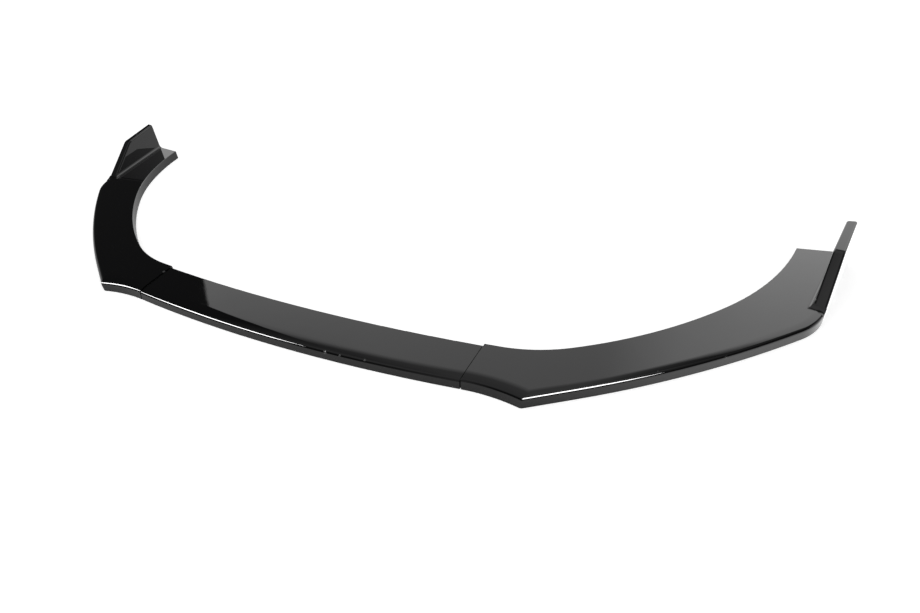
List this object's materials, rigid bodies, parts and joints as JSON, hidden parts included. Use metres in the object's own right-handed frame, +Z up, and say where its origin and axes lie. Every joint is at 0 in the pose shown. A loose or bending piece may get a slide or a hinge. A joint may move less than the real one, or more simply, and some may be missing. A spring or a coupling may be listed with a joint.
{
  "type": "front splitter lip",
  "caption": "Low glossy front bumper lip: a bowed centre lapped under swept-back side lips that end in upright fins, fixed along the lower edge of a car's front bumper.",
  "frame": {"origin": "middle of the lip's bounding box, on the plane that its lower rim stands on", "axes": "+X to the lip's right-hand end seen from in front, +Y towards the rear of the car, +Z up"},
  "size_m": [1.7518, 0.5678, 0.0864],
  "materials": {
    "lip_plastic": "mirror-gloss black on the outside, satin on the hidden underside",
    "screw_steel": "bright zinc plate"
  },
  "bodies": {
    "root": {"centre_lip": "lip_plastic", "right_lip": "lip_plastic", "left_lip": "lip_plastic", "lap_screws": "screw_steel"}
  },
  "joints": []
}
